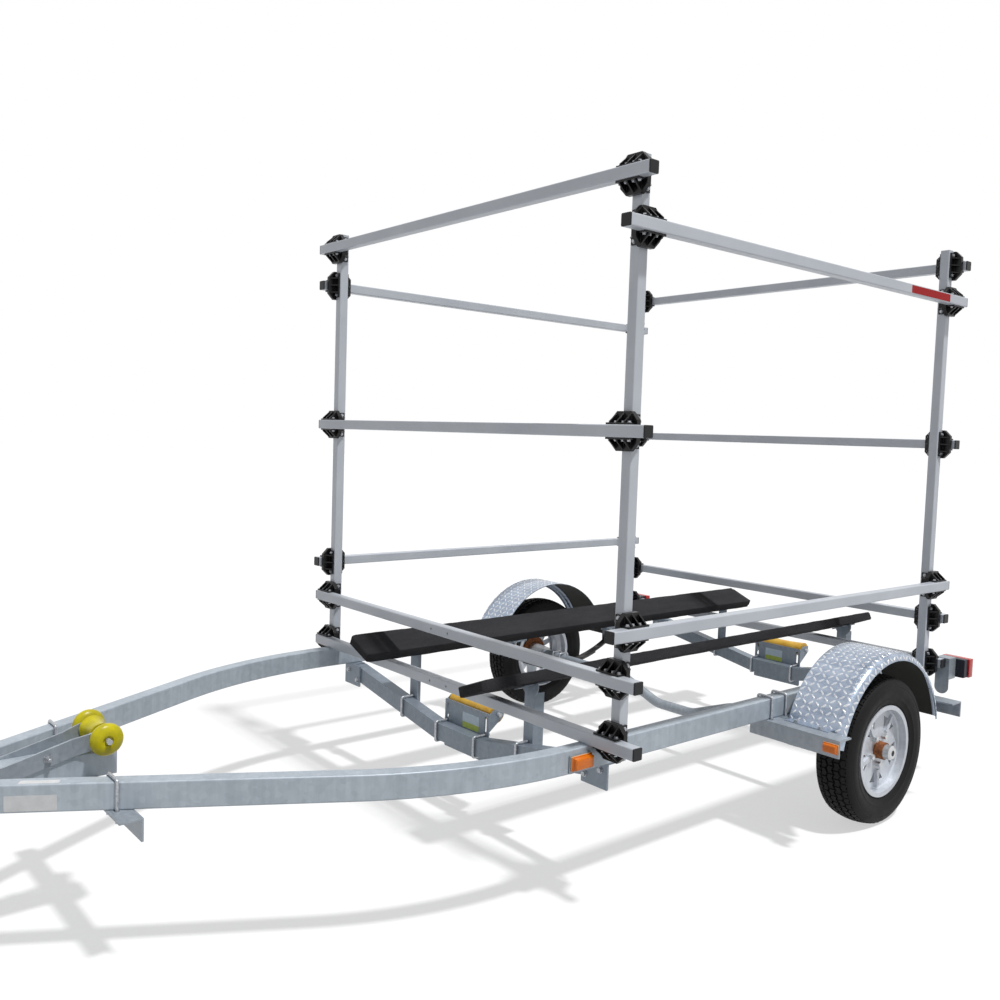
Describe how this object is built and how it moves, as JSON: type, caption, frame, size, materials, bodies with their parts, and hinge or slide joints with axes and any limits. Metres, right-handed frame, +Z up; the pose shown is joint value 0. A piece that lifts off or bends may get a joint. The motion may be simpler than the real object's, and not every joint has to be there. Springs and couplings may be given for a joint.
{
  "type": "boat trailer",
  "caption": "Single-axle boat trailer with curved galvanised rails, carpeted bunks, keel and bow rollers, and a four-post rack of square tube joined by ribbed clamps.",
  "frame": {"origin": "on the ground, midway along and across the trailer", "axes": "+X forward to the coupler, +Y the trailer's left, +Z up"},
  "size_m": [4.89, 2.214, 2.2903],
  "materials": {
    "galvanised": "hot-dip galvanised",
    "rack_tube": "satin mill finish",
    "clamp": "gloss black",
    "end_cap": "matt black",
    "tyre": "black rubber",
    "rim": "galvanised",
    "hub": "surface rust, bright cap",
    "fender": "polished tread plate",
    "roller": "translucent yellow",
    "bunk": "plank under black carpet",
    "amber": "amber lens",
    "red": "red lens",
    "lamp_housing": "black"
  },
  "bodies": {
    "chassis": {"axle": "galvanised", "bar_end_caps": "end_cap", "bow_arms": "galvanised", "bunk_heads": "galvanised", "bunk_left": "bunk", "bunk_posts": "galvanised", "bunk_right": "bunk", "clamps_front_left": "clamp", "clamps_front_right": "clamp", "clamps_rear_left": "clamp", "clamps_rear_right": "clamp", "coupler": "galvanised", "coupler_latch": "galvanised", "crossmember_brackets": "galvanised", "crossmember_front": "galvanised", "crossmember_rear": "galvanised", "fender_brackets": "galvanised", "fender_left": "fender", "fender_right": "fender", "front_brace": "galvanised", "front_cross_bars": "rack_tube", "jack_body": "galvanised", "jack_crank": "galvanised", "keel_bracket_front": "galvanised", "keel_bracket_rear": "galvanised", "leaf_springs": "galvanised", "marker_lamps": "amber", "marker_plates": "galvanised", "rail_left": "galvanised", "rail_right": "galvanised", "rear_cross_bars": "rack_tube", "roller_shafts": "galvanised", "side_bars_left": "rack_tube", "side_bars_right": "rack_tube", "spring_hangers": "galvanised", "spring_seats": "galvanised", "tail_lamp_brackets": "galvanised", "tail_lamp_housings": "lamp_housing", "tail_lamp_lenses": "red", "tongue_tube": "galvanised", "u_bolts": "galvanised", "upright_front_left": "rack_tube", "upright_front_right": "rack_tube", "upright_rear_left": "rack_tube", "upright_rear_right": "rack_tube"},
    "wheel_left": {"tyre_left": "tyre", "rim_left": "rim", "hub_left": "hub"},
    "wheel_right": {"tyre_right": "tyre", "rim_right": "rim", "hub_right": "hub"},
    "bow_roller": {"bow_roller": "roller"},
    "keel_roller_front": {"keel_roller_front": "roller"},
    "keel_roller_rear": {"keel_roller_rear": "roller"},
    "jack_leg": {"jack_leg": "galvanised"}
  },
  "joints": [
    {"name": "wheel_left_spin", "type": "hinge", "parent": "chassis", "child": "wheel_left", "pos_m": [-1.471, 0.973, 0.287], "axis": [0, 1, 0], "continuous": true},
    {"name": "wheel_right_spin", "type": "hinge", "parent": "chassis", "child": "wheel_right", "pos_m": [-1.471, -0.973, 0.287], "axis": [0, 1, 0], "continuous": true},
    {"name": "bow_roller_spin", "type": "hinge", "parent": "chassis", "child": "bow_roller", "pos_m": [1.129, 0, 0.5482], "axis": [0, 1, 0], "continuous": true},
    {"name": "keel_roller_front_spin", "type": "hinge", "parent": "chassis", "child": "keel_roller_front", "pos_m": [-0.2834, 0, 0.402], "axis": [0, 1, 0], "continuous": true},
    {"name": "keel_roller_rear_spin", "type": "hinge", "parent": "chassis", "child": "keel_roller_rear", "pos_m": [-2.3284, 0, 0.402], "axis": [0, 1, 0], "continuous": true},
    {"name": "jack_leg_slide", "type": "slide", "parent": "chassis", "child": "jack_leg", "axis": [0, 0, 1], "range_m": [-0.06, 0.2]}
  ]
}
